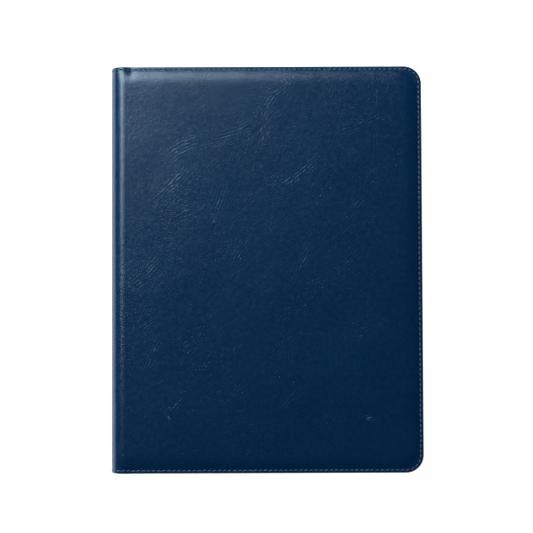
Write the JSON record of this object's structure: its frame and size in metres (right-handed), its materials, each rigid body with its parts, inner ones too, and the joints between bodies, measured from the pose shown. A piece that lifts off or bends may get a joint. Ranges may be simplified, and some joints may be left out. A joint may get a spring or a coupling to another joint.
{
  "type": "ring-bound pilot logbook",
  "caption": "Padded leather logbook binder with round spine, stitched edges, ring mechanism, log sheets, dividers, pockets and pen loop.",
  "frame": {"origin": "middle of the closed logbook's footprint, on the plane it lies on", "axes": "+X from the spine to the fore-edge, +Y from tail to head, +Z out through the front cover"},
  "size_m": [0.1854, 0.242, 0.036],
  "materials": {
    "cover_leather": "creased satin bonded leather",
    "padding_foam": "soft open-cell foam",
    "stiff_board": "grey binder's board",
    "lining_cloth": "matt woven lining",
    "stitching_thread": "twisted thread",
    "pocket_leather": "thin smooth pocket leather",
    "elastic_webbing": "ribbed elastic",
    "bright_plated_steel": "bright plating",
    "plain_steel": "plain rolled steel",
    "log_paper": "ruled ledger paper",
    "divider_plastic": "frosted sheet",
    "clear_plastic": "clear film",
    "laminated_card": "laminated card",
    "pen_plastic": "polished",
    "pen_metal": "bright plating"
  },
  "bodies": {
    "back_cover": {"back_leather": "cover_leather", "back_foam": "padding_foam", "back_board": "stiff_board", "back_lining": "lining_cloth", "back_stitching": "stitching_thread", "rear_pocket": "pocket_leather", "ring_base_plate": "bright_plated_steel", "ring_rivets": "plain_steel", "rivet_washers": "plain_steel", "lever_pins": "plain_steel", "log_sheets_1": "log_paper", "log_sheets_2": "log_paper", "log_sheets_3": "log_paper", "divider_1": "divider_plastic", "divider_2": "divider_plastic", "divider_3": "divider_plastic", "divider_4": "divider_plastic"},
    "spine": {"spine_leather": "cover_leather", "spine_board": "stiff_board", "spine_lining": "lining_cloth"},
    "front_cover": {"front_leather": "cover_leather", "front_foam": "padding_foam", "front_board": "stiff_board", "front_lining": "lining_cloth", "front_stitching": "stitching_thread", "document_pocket": "pocket_leather", "card_slots": "pocket_leather", "pen_loop": "elastic_webbing"},
    "pen": {"pen_barrel": "pen_plastic", "pen_cap": "pen_plastic", "pen_clip": "pen_metal", "pen_tip": "pen_metal"},
    "licence_card": {"licence_card": "laminated_card"},
    "right_rings": {"ring_halves_right": "bright_plated_steel", "toggle_plate_right": "plain_steel"},
    "left_rings": {"ring_halves_left": "bright_plated_steel", "toggle_plate_left": "plain_steel"},
    "head_lever": {"lever_head": "bright_plated_steel"},
    "tail_lever": {"lever_tail": "bright_plated_steel"},
    "turned_leaves": {"current_log_leaf": "log_paper", "clear_flyleaf": "clear_plastic"}
  },
  "joints": [
    {"name": "spine_hinge", "type": "hinge", "parent": "back_cover", "child": "spine", "pos_m": [-0.09082, 0, 0.00193], "axis": [0, -1, 0], "range_deg": [0, 90]},
    {"name": "front_cover_hinge", "type": "hinge", "parent": "spine", "child": "front_cover", "pos_m": [-0.09082, 0, 0.03407], "axis": [0, -1, 0], "range_deg": [0, 90]},
    {"name": "leaf_turn", "type": "hinge", "parent": "back_cover", "child": "turned_leaves", "pos_m": [-0.07275, 0, 0.0154], "axis": [0, -1, 0], "range_deg": [0, 183]},
    {"name": "ring_open_right", "type": "hinge", "parent": "back_cover", "child": "right_rings", "pos_m": [-0.06125, 0, 0.0064], "axis": [0, 1, 0], "range_deg": [0, 13]},
    {"name": "ring_open_left", "type": "hinge", "parent": "back_cover", "child": "left_rings", "pos_m": [-0.08425, 0, 0.0064], "axis": [0, 1, 0], "range_deg": [-13, 0]},
    {"name": "head_lever_press", "type": "hinge", "parent": "back_cover", "child": "head_lever", "pos_m": [-0.07275, 0.104, 0.0076], "axis": [-1, 0, 0], "range_deg": [0, 18]},
    {"name": "tail_lever_press", "type": "hinge", "parent": "back_cover", "child": "tail_lever", "pos_m": [-0.07275, -0.104, 0.0076], "axis": [1, 0, 0], "range_deg": [0, 18]},
    {"name": "pen_draw", "type": "slide", "parent": "front_cover", "child": "pen", "axis": [0, 1, 0], "range_m": [0, 0.085]},
    {"name": "card_draw", "type": "slide", "parent": "front_cover", "child": "licence_card", "axis": [0, 1, 0], "range_m": [0, 0.045]}
  ],
  "couplings": [
    {"joint": "front_cover_hinge", "follows": "spine_hinge", "ratio": 1},
    {"joint": "leaf_turn", "follows": "spine_hinge", "ratio": 2.0333},
    {"joint": "ring_open_left", "follows": "ring_open_right", "ratio": -1},
    {"joint": "head_lever_press", "follows": "ring_open_right", "ratio": 1.3846},
    {"joint": "tail_lever_press", "follows": "ring_open_right", "ratio": 1.3846}
  ]
}
